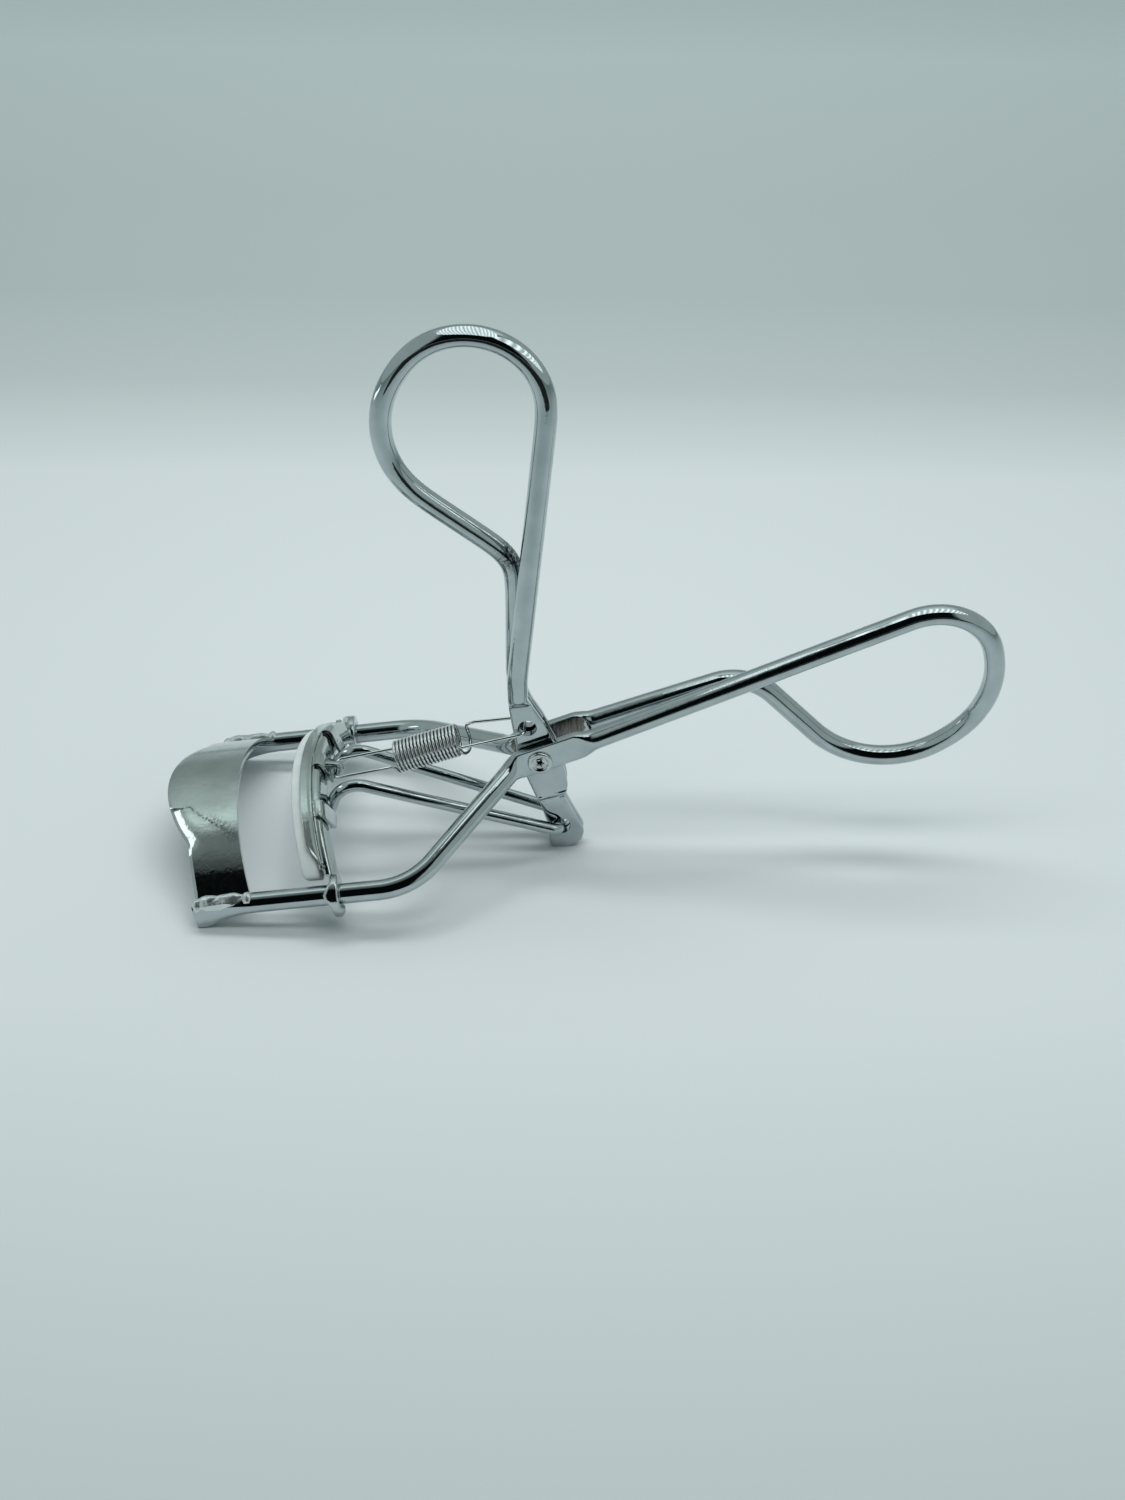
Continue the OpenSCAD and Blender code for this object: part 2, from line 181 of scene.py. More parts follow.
def stand(piece, body, slot, material, *nodes):
    """Tilts a finished piece onto the table, gives it its finish and lets it ride on its body."""
    piece.data.transform(standing)
    for vertex in piece.data.vertices:
        vertex.co.z = max(0, vertex.co.z)
    piece.data.materials.append(material)
    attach(piece, body)
    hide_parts(*nodes)


def round_corners(corners, bends, gap):
    """Points along a wire through corners, each rounded to its bend radius, no further than gap apart."""
    points = [corners[0]]
    for i in range(1, len(corners) - 1):
        before = (corners[i] - corners[i - 1]).normalized()
        after = (corners[i + 1] - corners[i]).normalized()
        turn = before.angle(after)
        start = corners[i] - before * bends[i] * math.tan(turn / 2)
        centre = corners[i] + (after - before).normalized() * bends[i] / math.cos(turn / 2)
        axis = before.cross(after).normalized()
        steps = max(2, round(math.degrees(turn) / 4))
        for k in range(steps + 1):
            points.append(centre + Matrix.Rotation(turn * k / steps, 3, axis) @ (start - centre))
    points.append(corners[-1])
    spread = [points[0]]
    for a, b in zip(points, points[1:]):
        pieces = max(1, math.ceil((b - a).length / gap))
        spread += [a.lerp(b, k / pieces) for k in range(1, pieces + 1)]
    return spread


def relax(points, rounds, moves):
    """Evens out the bends of a wire at the points that moves(point) picks."""
    for _ in range(rounds):
        for i in range(1, len(points) - 1):
            if moves(points[i]):
                points[i] = points[i] / 2 + (points[i - 1] + points[i + 1]) / 4
    return points


def heading_at(points, i):
    """The direction of a wire at one of its points."""
    return (points[min(i + 1, len(points) - 1)] - points[max(i - 1, 0)]).normalized()


def dome_ends(points, radius):
    """Point radii that round off both ends of a wire, with the points that this needs."""
    dome, share = [], []
    for k in range(1, 7):
        share.append(math.sin(k / 7 * math.pi / 2))
        dome.append(radius * (1 - math.cos(k / 7 * math.pi / 2)))
    front = (points[1] - points[0]).normalized()
    back = (points[-2] - points[-1]).normalized()
    first = [points[0] + front * d for d in dome]
    last = [points[-1] + back * d for d in reversed(dome)]
    middle = [p for p in points if (p - points[0]).length > radius and (p - points[-1]).length > radius]
    return first + middle + last, share + [1] * len(middle) + list(reversed(share))


def sweep(name, points, radius, sides=WIRE_SIDES, shares=None):
    """A round wire along points as a mesh, ring after ring, with closed ends."""
    curve = bpy.data.curves.new(name, "CURVE")
    curve.dimensions = "3D"
    curve.bevel_depth = radius
    curve.bevel_resolution = (sides - 4) // 2
    spline = curve.splines.new("POLY")
    spline.points.add(len(points) - 1)
    for i, point in enumerate(points):
        spline.points[i].co = (*point, 1)
        spline.points[i].radius = shares[i] if shares else 1
    wire = bpy.data.objects.new(name, curve)
    bpy.context.collection.objects.link(wire)
    only(wire)
    bpy.ops.object.convert(target="MESH")
    bpy.ops.object.mode_set(mode="EDIT")
    for first in (0, len(points) - 1):
        bpy.ops.mesh.select_all(action="DESELECT")
        bpy.ops.object.mode_set(mode="OBJECT")
        for j in range(sides):
            wire.data.vertices[first * sides + j].select = True
        bpy.ops.object.mode_set(mode="EDIT")
        bpy.ops.mesh.select_mode(type="VERT")
        bpy.ops.mesh.edge_face_add()
    bpy.ops.mesh.select_all(action="SELECT")
    bpy.ops.mesh.normals_make_consistent(inside=False)
    bpy.ops.object.mode_set(mode="OBJECT")
    return wire


def on_arc(x, radius, angle):
    """A point on the jaw circle, with x shifted by the lean of the bite."""
    z = ARC_Z + radius * math.cos(angle)
    return Vector((x - z * BITE_LEAN, radius * math.sin(angle), z))


def bent_grid(name, columns, rows, place):
    """A sheet whose grid points are moved to place(u, v), both from 0 to 1."""
    bpy.ops.object.select_all(action="DESELECT")
    bpy.ops.mesh.primitive_grid_add(x_subdivisions=columns, y_subdivisions=rows, size=2)
    sheet = bpy.context.object
    sheet.name = name
    sheet.data.name = name
    for vertex in sheet.data.vertices:
        vertex.co = place((vertex.co.x + 1) / 2, (vertex.co.y + 1) / 2)
    return sheet


def thicken(sheet, thickness, edge):
    """Gives a sheet its thickness below its upper face, and rounds its edges."""
    only(sheet)
    bpy.ops.object.mode_set(mode="EDIT")
    bpy.ops.mesh.select_all(action="SELECT")
    bpy.ops.mesh.normals_make_consistent(inside=False)
    bpy.ops.object.mode_set(mode="OBJECT")
    up = sum(polygon.normal.z for polygon in sheet.data.polygons)
    if up < 0:
        sheet.data.flip_normals()
    apply_modifier(sheet, "SOLIDIFY", thickness=thickness, offset=-1)
    apply_modifier(sheet, "BEVEL", width=edge, segments=3, limit_method="ANGLE",
                   angle_limit=math.radians(50))


def join(name, pieces):
    """Joins pieces into one mesh."""
    bpy.ops.object.select_all(action="DESELECT")
    for piece in pieces:
        piece.select_set(True)
    bpy.context.view_layer.objects.active = pieces[0]
    bpy.ops.object.join()
    pieces[0].name = name
    pieces[0].data.name = name
    return pieces[0]


def flat_plate(name, outline, y, thickness, edge):
    """A plate from an outline in x and z, centred on y, with rounded edges."""
    mesh = bpy.data.meshes.new(name)
    mesh.from_pydata([(x, y - thickness / 2, z) for x, z in outline], [], [list(range(len(outline)))])
    plate = bpy.data.objects.new(name, mesh)
    bpy.context.collection.objects.link(plate)
    only(plate)
    bpy.ops.object.mode_set(mode="EDIT")
    bpy.ops.mesh.select_all(action="SELECT")
    bpy.ops.mesh.extrude_region_move(TRANSFORM_OT_translate={"value": (0, thickness, 0)})
    bpy.ops.mesh.select_all(action="SELECT")
    bpy.ops.mesh.normals_make_consistent(inside=False)
    bpy.ops.object.mode_set(mode="OBJECT")
    apply_modifier(plate, "BEVEL", width=edge, segments=3, limit_method="ANGLE",
                   angle_limit=math.radians(40))
    return plate


def squarish(share, square):
    """Spreads a round section's coordinate, from -1 to 1, towards a flat face as square falls from 1."""
    return math.copysign(min(1, abs(share)) ** square, share)


def cross_holes(piece, holes):
    """Cuts round holes across a piece, each with its place, radius and half length."""
    for place, radius, half in holes:
        bpy.ops.mesh.primitive_cylinder_add(vertices=48, radius=radius, depth=2 * half, location=place,
                                            rotation=(math.pi / 2, 0, 0))
        cutter = bpy.context.object
        apply_modifier(piece, "BOOLEAN", operation="DIFFERENCE", solver="EXACT", object=cutter)
        bpy.data.objects.remove(cutter)


# Materials

def new_material(name):
    """A material with its shader and a texture coordinate in millimetres."""
    material = bpy.data.materials.new(name)
    material.use_nodes = True
    nodes = material.node_tree.nodes
    shader = nodes["Principled BSDF"]
    place = nodes.new("ShaderNodeTexCoord")
    scale = nodes.new("ShaderNodeMapping")
    scale.inputs["Scale"].default_value = (1 / MM, 1 / MM, 1 / MM)
    material.node_tree.links.new(place.outputs["Object"], scale.inputs["Vector"])
    return material, shader, scale.outputs["Vector"]


def add_noise(material, place, scale, detail=3):
    """A noise value over the piece, its scale in grains per millimetre."""
    texture = material.node_tree.nodes.new("ShaderNodeTexNoise")
    texture.inputs["Scale"].default_value = scale
    texture.inputs["Detail"].default_value = detail
    material.node_tree.links.new(place, texture.inputs["Vector"])
    return texture.outputs["Fac"]


def add_range(material, value, low, high, start=0.3, end=0.7):
    """Maps a value to a range."""
    spread = material.node_tree.nodes.new("ShaderNodeMapRange")
    spread.inputs["From Min"].default_value = start
    spread.inputs["From Max"].default_value = end
    spread.inputs["To Min"].default_value = low
    spread.inputs["To Max"].default_value = high
    material.node_tree.links.new(value, spread.inputs["Value"])
    return spread.outputs["Result"]


def add_bump(material, shader, height, depth):
    """A bump of a depth in millimetres."""
    bump = material.node_tree.nodes.new("ShaderNodeBump")
    bump.inputs["Strength"].default_value = 1
    bump.inputs["Distance"].default_value = depth * MM
    material.node_tree.links.new(height, bump.inputs["Height"])
    material.node_tree.links.new(bump.outputs["Normal"], shader.inputs["Normal"])


def add_tint(material, shader, value, dark, light):
    """Varies the colour between two tints."""
    mix = material.node_tree.nodes.new("ShaderNodeMix")
    mix.data_type = "RGBA"
    mix.inputs["A"].default_value = (*dark, 1)
    mix.inputs["B"].default_value = (*light, 1)
    material.node_tree.links.new(value, mix.inputs["Factor"])
    material.node_tree.links.new(mix.outputs["Result"], shader.inputs["Base Color"])


def darken(material, amount, colour):
    """Lets a dark colour cover the one that the shader has, by an amount from 0 to 1."""
    nodes, links = material.node_tree.nodes, material.node_tree.links
    base = nodes["Principled BSDF"].inputs["Base Color"]
    mix = nodes.new("ShaderNodeMix")
    mix.data_type = "RGBA"
    mix.inputs["B"].default_value = (*colour, 1)
    links.new(base.links[0].from_socket, mix.inputs["A"])
    links.new(amount, mix.inputs["Factor"])
    links.new(mix.outputs["Result"], base)


def chrome(name, dark, light, rough_low, rough_high, grain, depth):
    """Plated steel: a mirror with faint clouding, and ripples of the plating."""
    material, shader, place = new_material(name)
    shader.inputs["Metallic"].default_value = 1
    clouds = add_noise(material, place, 0.35)
    add_tint(material, shader, add_range(material, clouds, 0, 1), dark, light)
    wear = add_noise(material, place, 1.7, 5)
    rough = add_range(material, wear, rough_low, rough_high)
    material.node_tree.links.new(rough, shader.inputs["Roughness"])
    add_bump(material, shader, add_noise(material, place, grain, 2), depth)
    return material


def spring_steel(name, along):
    """Bright spring wire with painted shade where one turn lies against the next: darker where the surface
    faces along the coil.
    """
    material = chrome(name, (0.78, 0.82, 0.82), (0.88, 0.91, 0.91), 0.05, 0.1, 2, 0.01)
    nodes, links = material.node_tree.nodes, material.node_tree.links
    facing = nodes.new("ShaderNodeVectorMath")
    facing.operation = "DOT_PRODUCT"
    facing.inputs[1].default_value = along
    links.new(nodes["Texture Coordinate"].outputs["Normal"], facing.inputs[0])
    sideways = nodes.new("ShaderNodeMath")
    sideways.operation = "ABSOLUTE"
    links.new(facing.outputs["Value"], sideways.inputs[0])
    # Painted shade between the turns, where the surface faces along the coil
    painted_coil_shade = add_range(material, sideways.outputs["Value"], 0, 1, 0.45, 0.8)
    darken(material, painted_coil_shade, (0.03, 0.034, 0.035))
    return material


def add_dark_specks(material):
    """Darkens a plated finish in specks where its piece is marked; on the jaw the marks are a painted dark
    reflection.
    """
    nodes, links = material.node_tree.nodes, material.node_tree.links
    mark = nodes.new("ShaderNodeAttribute")
    mark.attribute_name = "dark_specks"
    grain = add_noise(material, nodes["Mapping"].outputs["Vector"], 3.2, 4)
    specks = add_range(material, grain, 0.15, 1, 0.4, 0.58)
    amount = nodes.new("ShaderNodeMath")
    amount.operation = "MULTIPLY"
    links.new(mark.outputs["Fac"], amount.inputs[0])
    links.new(specks, amount.inputs[1])
    darken(material, amount.outputs["Value"], (0.05, 0.058, 0.064))
    return material


def bare_steel(name):
    """Steel that the plating has not reached: brown, dull and brushed upright."""
    material, shader, place = new_material(name)
    shader.inputs["Metallic"].default_value = 1
    stretch = material.node_tree.nodes.new("ShaderNodeMapping")
    stretch.inputs["Scale"].default_value = (6, 1, 0.6)
    material.node_tree.links.new(place, stretch.inputs["Vector"])
    brushed = add_noise(material, stretch.outputs["Vector"], 1.6, 4)
    add_tint(material, shader, add_range(material, brushed, 0, 1), (0.1, 0.09, 0.08), (0.34, 0.33, 0.31))
    shader.inputs["Roughness"].default_value = 0.35
    add_bump(material, shader, brushed, 0.03)
    return material


def silicone(name):
    """Soft white rubber with a fine matt skin."""
    material, shader, place = new_material(name)
    clouds = add_noise(material, place, 0.5)
    add_tint(material, shader, add_range(material, clouds, 0, 1), (0.56, 0.63, 0.63), (0.64, 0.7, 0.7))
    shader.inputs["Subsurface Weight"].default_value = 0.25
    shader.inputs["Subsurface Radius"].default_value = (1, 1, 1)
    shader.inputs["Subsurface Scale"].default_value = 0.8 * MM
    skin = add_noise(material, place, 6, 4)
    rough = add_range(material, skin, 0.4, 0.55)
    material.node_tree.links.new(rough, shader.inputs["Roughness"])
    add_bump(material, shader, skin, 0.02)
    return material


# Dark and light tint, least and most roughness, grain and depth of the ripples
WIRE_FINISH = ((0.42, 0.475, 0.49), (0.49, 0.545, 0.56), 0.03, 0.09, 0.8, 0.012)
SHEET_FINISH = ((0.43, 0.485, 0.475), (0.51, 0.565, 0.55), 0.05, 0.12, 1.5, 0.02)
wire_chrome = chrome("wire_chrome", *WIRE_FINISH)
sheet_chrome = chrome("sheet_chrome", *SHEET_FINISH)
# The jaw's dark specks are a painted reflection; the lever's are darker specks where its far wire lies
# beside the near leg.
lever_chrome = add_dark_specks(chrome("lever_chrome", *WIRE_FINISH))
jaw_chrome = add_dark_specks(chrome("jaw_chrome", *SHEET_FINISH))
braze_chrome = chrome("braze_chrome", (0.6, 0.65, 0.65), (0.76, 0.8, 0.8), 0.28, 0.46, 1.8, 0.06)
rivet_chrome = chrome("rivet_chrome", (0.5, 0.54, 0.55), (0.64, 0.68, 0.68), 0.07, 0.18, 2.5, 0.03)
white_silicone = silicone("white_silicone")
bare_cheek = bare_steel("bare_cheek")


# Frame wire: two rails, cheeks pressed flat at the pivot, two arms and the handle loop

def frame_corners():
    """Corners and bend radii of the frame wire, from the near tip to the far one."""
    tip = [Vector((-0.5, -RAIL_Y, 0)), Vector((27, -RAIL_Y, 0)), PIVOT + Vector((-3.25, -CHEEK_Y, -0.66)),
           PIVOT + Vector((6.2, -CHEEK_Y, 1.97))]
    loop = [PIVOT + Vector(place) for place in
            ((56.4, -1.4, 17.7), (58.92, -0.4, -0.43), (42.14, 0.9, -11.11), (27.4, 2.225, 7.1))]
    far = [Vector((p.x, -p.y, p.z)) for p in reversed(tip)]
    bends = [0, 9, 3.2, 10, 7.96, 12.97, 12.21, 7.1, 10, 3.2, 9, 0]
    return tip + loop + far, bends


def press_cheek(centre, along, offset):
    """Moves a point of the round wire to where the press leaves it at the cheeks."""
    side = (Vector((0, 1, 0)) - along * along.y).normalized()
    up = along.cross(side)
    across, rise = offset.dot(side) / WIRE_R, offset.dot(up) / WIRE_R
    x = centre.x - PIVOT.x
    flat = ramp(x, -4.4, -2.2) * (1 - ramp(x, 4.9, 7.4)) if abs(centre.y) < 4 else 0
    square = 1 - 0.76 * flat
    half_t = WIRE_R + (CHEEK_T / 2 - WIRE_R) * flat
    half_h = WIRE_R + (CHEEK_H / 2 - WIRE_R) * flat
    point = centre + side * half_t * squarish(across, square) + up * half_h * squarish(rise, square)
    if -5.5 < x < 6.6 and abs(point.y) < CHEEK_IN and abs(centre.y) < 4:
        point.y = math.copysign(CHEEK_IN, point.y)
    return point


def press_tip(centre, offset):
    """Moves a point of a rail's end to the flattened tip, which flares down to its foot."""
    flat = 1 - ramp(centre.x, 1.2, 7)
    top = WIRE_R - 0.5 * flat
    bottom = follow(centre.x, ((-0.5, -2.95), (0.7, -2.9), (2.8, -1.9), (5, -1.45), (7, -WIRE_R)))
    square = 1 - 0.45 * flat
    across = squarish(offset.y / WIRE_R, square)
    rise = squarish(offset.z / WIRE_R, square)
    middle, half = (top + bottom) / 2, (top - bottom) / 2
    return Vector((centre.x + 0.1 * flat * (1 - rise), centre.y + (WIRE_R - 0.35 * flat) * across,
                   middle + half * rise))


def make_frame_wire():
    corners, bends = frame_corners()
    points = round_corners(corners, bends, 0.5)
    wire = sweep("frame_wire_bent", points, WIRE_R)
    for i, centre in enumerate(points):
        along = heading_at(points, i)
        for j in range(WIRE_SIDES):
            vertex = wire.data.vertices[i * WIRE_SIDES + j]
            if centre.x < 7:
                vertex.co = press_tip(centre, vertex.co - centre)
            elif abs(centre.x - PIVOT.x) < 9:
                vertex.co = press_cheek(centre, along, vertex.co - centre)
    cross_holes(wire, [(PIVOT, CHEEK_HOLE_R, CUT_HALF)])
    smooth(wire, 40)
    for polygon in wire.data.polygons:
        middle = polygon.center
        facing_in = polygon.normal.y * middle.y < 0
        if facing_in and abs(abs(middle.y) - CHEEK_IN) < 0.05 and abs(middle.x - PIVOT.x) < 6:
            polygon.material_index = 1
    return wire


# Lever wire: loop, two legs, and blades pressed flat that end in the tabs

# Blade outline from the tab's foot up to the neck: height over the pivot, front edge, back edge
BLADE = ((-15.9, -0.2, 1.7), (-15.5, -0.3, 2.1), (-15, -0.4, 3.7), (-13.3, -0.4, 4.35),
         (-11.2, -0.35, 3.6), (-7.5, -1, 2.4), (-6.7, -1.3, 2.65), (-5.1, -1.7, 3.05),
         (-3.4, -2.1, 2.95), (0.5, -2.8, 2.5), (2, -2.85, 2.05), (5, -2.95, 1.1), (7.4, -3, 0.05),
         (9, -2.95, -0.45), (11, -2.9, -0.3))
NECK = PIVOT + Vector((-1.7, 0, 10.6))
# Where the colour is darkened in specks, on the far wire just above its bend beside the near leg
LOOP_DARK_SPOT = PIVOT + Vector((0.2, 0.9, 28.9))
DARK_SPOT_R = 1.6


def lever_corners():
    """Corners and bend radii of the lever wire, from the near tab's foot to the far one's."""
    foot = PIVOT + Vector((0.8, 0, -15.9))
    blade = PIVOT + Vector((-0.1, 0, 0))
    near = [foot + Vector((0, -TAB_Y, 0)), blade + Vector((0, -BLADE_Y, 0)), NECK + Vector((0, -LEG_Y, 0))]
    loop = [PIVOT + Vector(place) for place in
            ((8.06, -1, 54.6), (-4.97, -0.3, 60.28), (-17, 0.5, 45.7), (0.45, 1.32, 27.8))]
    far = [Vector((p.x, -p.y, p.z)) for p in reversed(near)]
    return near + loop + far, [0, 20, 12, 8.9, 9, 12.31, 4.8, 12, 20, 0]


def press_blade(centre, along, offset):
    """Moves a point of the round wire to where the press leaves it on the blade and the tab."""
    z = centre.z - PIVOT.z
    side = -1 if centre.y < 0 else 1
    flat = 1 - ramp(z, 7.7, 9.4)
    square = 1 - 0.62 * flat
    back_dir = (Vector((1, 0, 0)) - along * along.x).normalized()
    behind = offset.normalized().dot(back_dir)
    across = offset.normalized().y
    front = trace(z, [(row[0], row[1]) for row in BLADE])
    back = trace(z, [(row[0], row[2]) for row in BLADE])
    blend = ramp(z, 8.8, 11.5)
    middle = (front + back) / 2 * (1 - blend) + (centre.x - PIVOT.x) * blend
    half = (back - front) / 2 * (1 - blend) + WIRE_R / abs(along.z) * blend
    half_t = BLADE_T / 2 + (WIRE_R - BLADE_T / 2) * (1 - flat)
    reach = half * squarish(behind, square)
    height = z - 0.2 * reach
    jog = 1 - ramp(height, -7, -6.75)
    rim = 0.16 * math.exp(-((height + 6.55) / 0.25) ** 2) - 0.12 * math.exp(-((height + 7.25) / 0.2) ** 2)
    deep = (BLADE_Y - (BLADE_Y - TAB_Y) * jog + rim) * flat + abs(centre.y) * (1 - flat)
    return Vector((PIVOT.x + middle + reach, side * deep + half_t * squarish(across, square), centre.z))


def make_lever_wire():
    corners, bends = lever_corners()
    coarse = round_corners(corners, bends, 0.4)
    coarse = relax(coarse, 40, lambda point: point.z > PIVOT.z + 15)
    points = coarse[:1]
    for a, b in zip(coarse, coarse[1:]):
        height = b.z - PIVOT.z
        pieces = 4 if -8 < height < -5.4 or 7 < height < 10 else 1
        points += [a.lerp(b, k / pieces) for k in range(1, pieces + 1)]
    wire = sweep("lever_wire_bent", points, WIRE_R)
    for i, centre in enumerate(points):
        along = heading_at(points, i)
        if centre.z < PIVOT.z + 13:
            for j in range(WIRE_SIDES):
                vertex = wire.data.vertices[i * WIRE_SIDES + j]
                vertex.co = press_blade(centre, along, vertex.co - centre)
    hook_sink = BLADE_HOLE + Vector((-0.15, -SINK_HALF, 0.45))
    cross_holes(wire, [(PIVOT, BLADE_PIVOT_R, CUT_HALF), (TAB_HOLE, TAB_HOLE_R, CUT_HALF),
                       (BLADE_HOLE, HOOK_HOLE_R, CUT_HALF), (hook_sink, HOOK_SINK_R, SINK_HALF)])
    smooth(wire, 40)
    # Darker specks on the far wire beside the near leg
    dark_specks = wire.data.attributes.new("dark_specks", "FLOAT", "POINT")
    for vertex in wire.data.vertices:
        away = (vertex.co - LOOP_DARK_SPOT).length / DARK_SPOT_R
        dark_specks.data[vertex.index].value = min(1, 2.2 * math.exp(-away ** 2))
    return wire


# Links: a wire from each slider leaf to the lever's tab, with a pin bent at each end

def make_link(name, side):
    arm_top = LEAF_HOLE + Vector((2.5, 0, 4.95))
    rear_pin = TAB_HOLE + Vector((-0.25, 0, 0.05))
    corners = [LEAF_HOLE + Vector((0, side * 6.1, 0)), LEAF_HOLE + Vector((0, side * 3.9, 0)),
               arm_top + Vector((0, side * 3.8, 0)), rear_pin + Vector((0, side * 2.2, 0)),
               rear_pin + Vector((0, side * 0.2, 0))]
    points = round_corners(corners, [0, 0.95, 3.3, 1, 0], 0.5)
    points, shares = dome_ends(points, 0.35)
    link = sweep(name, points, LINK_R, LINK_SIDES, shares)
    smooth(link, 40)
    return link


# Return spring: a close coil with a long hook at each end

SPRING_R = 1.95
SPRING_WIRE_R = 0.21
SPRING_SIDES = 12
COIL_TURNS = 18
COIL_PITCH = 0.475
# How far the coil sits towards the slider, and how low and how tilted on the line of its hooks
COIL_SHIFT = 0.35
COIL_LOW = -0.31
COIL_TILT = 0.054


def make_spring():
    run = (HOOK_REAR - HOOK_FRONT).length
    rise = math.atan2(HOOK_REAR.z - HOOK_FRONT.z, HOOK_REAR.x - HOOK_FRONT.x)
    coil_len = COIL_TURNS * COIL_PITCH
    start = (run - coil_len) / 2 - COIL_SHIFT
    end = start + coil_len
    hook_bend = 0.7
    hook_in = SPRING_R - hook_bend

    def hook_corner(along, across, first):
        return [Vector((along + hook_bend * math.cos(math.radians(first + 15 * k)),
                        across + hook_bend * math.sin(math.radians(first + 15 * k)), 0)) for k in range(7)]

    def on_coil(along, degrees):
        angle = math.radians(degrees)
        low = COIL_LOW + COIL_TILT * (along - start)
        return Vector((along, SPRING_R * math.cos(angle), SPRING_R * math.sin(angle) + low))

    line = [on_coil(start - 0.1, 0)]
    line += hook_corner(hook_bend, hook_in, 90) + hook_corner(hook_bend, -hook_in, 180)
    line.append(on_coil(start - 0.5, 180))
    steps = COIL_TURNS * 24
    for k in range(steps + 1):
        line.append(on_coil(start + coil_len * k / steps, 195 + (360 * COIL_TURNS - 30) * k / steps))
    line.append(on_coil(end + 0.5, 180))
    line += hook_corner(run - hook_bend, -hook_in, 270) + hook_corner(run - hook_bend, hook_in, 0)
    # The far leg bends down into a last half turn, drawn out from the coil
    line += [on_coil(end + 2.3, 22), on_coil(end + 1.7, 21), on_coil(end + 1.4, 19), on_coil(end + 1.2, 14)]
    for k in range(22):
        line.append(on_coil(end + 1.1 - 0.9 * ramp(k, 7, 21), 6 - 8.5 * k))
    place = Matrix.Translation(HOOK_FRONT) @ Matrix.Rotation(-rise, 4, "Y")
    spring = sweep("return_spring_coil", [place @ point for point in line], SPRING_WIRE_R,
                   SPRING_SIDES)
    smooth(spring, 50)
    spring.data.transform(standing)
    ends = [standing @ (place @ Vector((along, 0, 0))) for along in (start, end)]
    spring.data.materials.append(spring_steel("spring_chrome", (ends[1] - ends[0]).normalized()))
    return spring, ends


# Fixed jaw: a curved sheet with a scalloped front and a leaning rear edge

def jaw_front_edge(y):
    """The front outline: a round crest that runs into straight ends with a small concave corner."""
    crest = PLAN_X - math.sqrt(PLAN_R ** 2 - y ** 2)
    end = -0.85 + 0.14 * (abs(y) - 10.6)
    blend = max(0, 1 - abs(crest - end) / 0.4)
    return min(crest, end) - 0.05 * blend * blend


def make_jaw():
    def place(u, v):
        angle = JAW_HALF * (2 * v - 1)
        y = JAW_TOP * math.sin(angle)
        z = ARC_Z + JAW_TOP * math.cos(angle)
        front, back = jaw_front_edge(y), JAW_BACK - z * BITE_LEAN
        flare = ramp(-y, 5, 5.3) * (1 - ramp(-y, 9.3, 12))
        dip = 0.05 * (1 - ramp(u, 0, 0.06)) + 0.32 * flare * max(0, 1 - u / 0.36) ** 2
        out = Vector((0, math.sin(angle), math.cos(angle)))
        return Vector((front + (back - front) * u, y, z)) - out * dip

    jaw = bent_grid("jaw_sheet", 64, 200, place)
    thicken(jaw, JAW_T, JAW_EDGE)
    smooth(jaw, 40)
    # Painted reflection: dark specks along the flare's crease and in a patch at its end
    dark_specks = jaw.data.attributes.new("dark_specks", "FLOAT", "POINT")
    for vertex in jaw.data.vertices:
        dark_specks.data[vertex.index].value = jaw_painted_reflection(vertex.co)
    return jaw


def jaw_painted_reflection(point):
    """How dark the painted reflection is, from 0 to 1: along the flare's crease, and in a patch at its end.
    """
    y = point.y
    if math.hypot(y, point.z - ARC_Z) < JAW_TOP - 0.45:
        return 0
    front, back = jaw_front_edge(y), JAW_BACK - point.z * BITE_LEAN
    u = (point.x - front) / (back - front)
    crease_u = 0.33 + 0.47 * ramp(-y, 5.1, 10)
    step = math.exp(-((y + 5.05) / 0.13) ** 2) * (1 - ramp(u, 0.3, 0.36))
    crease = math.exp(-((u - crease_u) / 0.03) ** 2) * ramp(-y, 4.9, 5.2) * (1 - ramp(-y, 7.5, 9.5))
    patch = math.exp(-((u - crease_u - 0.08) / 0.15) ** 2) * ramp(-y, 5.6, 7.6) * (1 - ramp(-y, 9, 11.5))
    return min(1, step + 0.8 * crease + 0.65 * patch)


# Braze beads: lumps run together along the seam of jaw and rail

# Each lump's place along the rail, inwards and up, then its half length, width and height
BRAZE_LUMPS = ((3, -0.2, 0.55, 3.4, 0.98, 0.9), (0.2, -0.1, 0.4, 0.7, 0.95, 0.95),
               (6.5, -0.15, 0.7, 0.75, 0.95, 0.95), (1.7, 0, 1.05, 1.5, 0.7, 0.6),
               (4.3, 0, 1.1, 1.9, 0.65, 0.6))


def make_braze(name, side):
    lumps = []
    for x, inwards, z, length, width, height in BRAZE_LUMPS:
        bpy.ops.mesh.primitive_uv_sphere_add(segments=32, ring_count=16, radius=1,
                                             location=(x, side * (RAIL_Y - inwards), z))
        lump = bpy.context.object
        lump.scale = (length, width, height)
        only(lump)
        bpy.ops.object.transform_apply(location=True, rotation=True, scale=True)
        lumps.append(lump)
    braze = join(name, lumps)
    apply_modifier(braze, "REMESH", mode="VOXEL", voxel_size=0.08)
    apply_modifier(braze, "SMOOTH", factor=0.5, iterations=10)
    normals = [vertex.normal.copy() for vertex in braze.data.vertices]
    for vertex, normal in zip(braze.data.vertices, normals):
        swirl = noise.noise(vertex.co * 0.9 + Vector((0, 0, 5 * side)))
        vertex.co += normal * (0.1 * swirl + 0.03 * noise.noise(vertex.co * 2.6))
        vertex.co.y = side * min(side * vertex.co.y, RAIL_Y + 1)
    smooth(braze, 80)
    return braze


# Rivets: a tube with a rolled rim outside, split like a star, and a flare inside

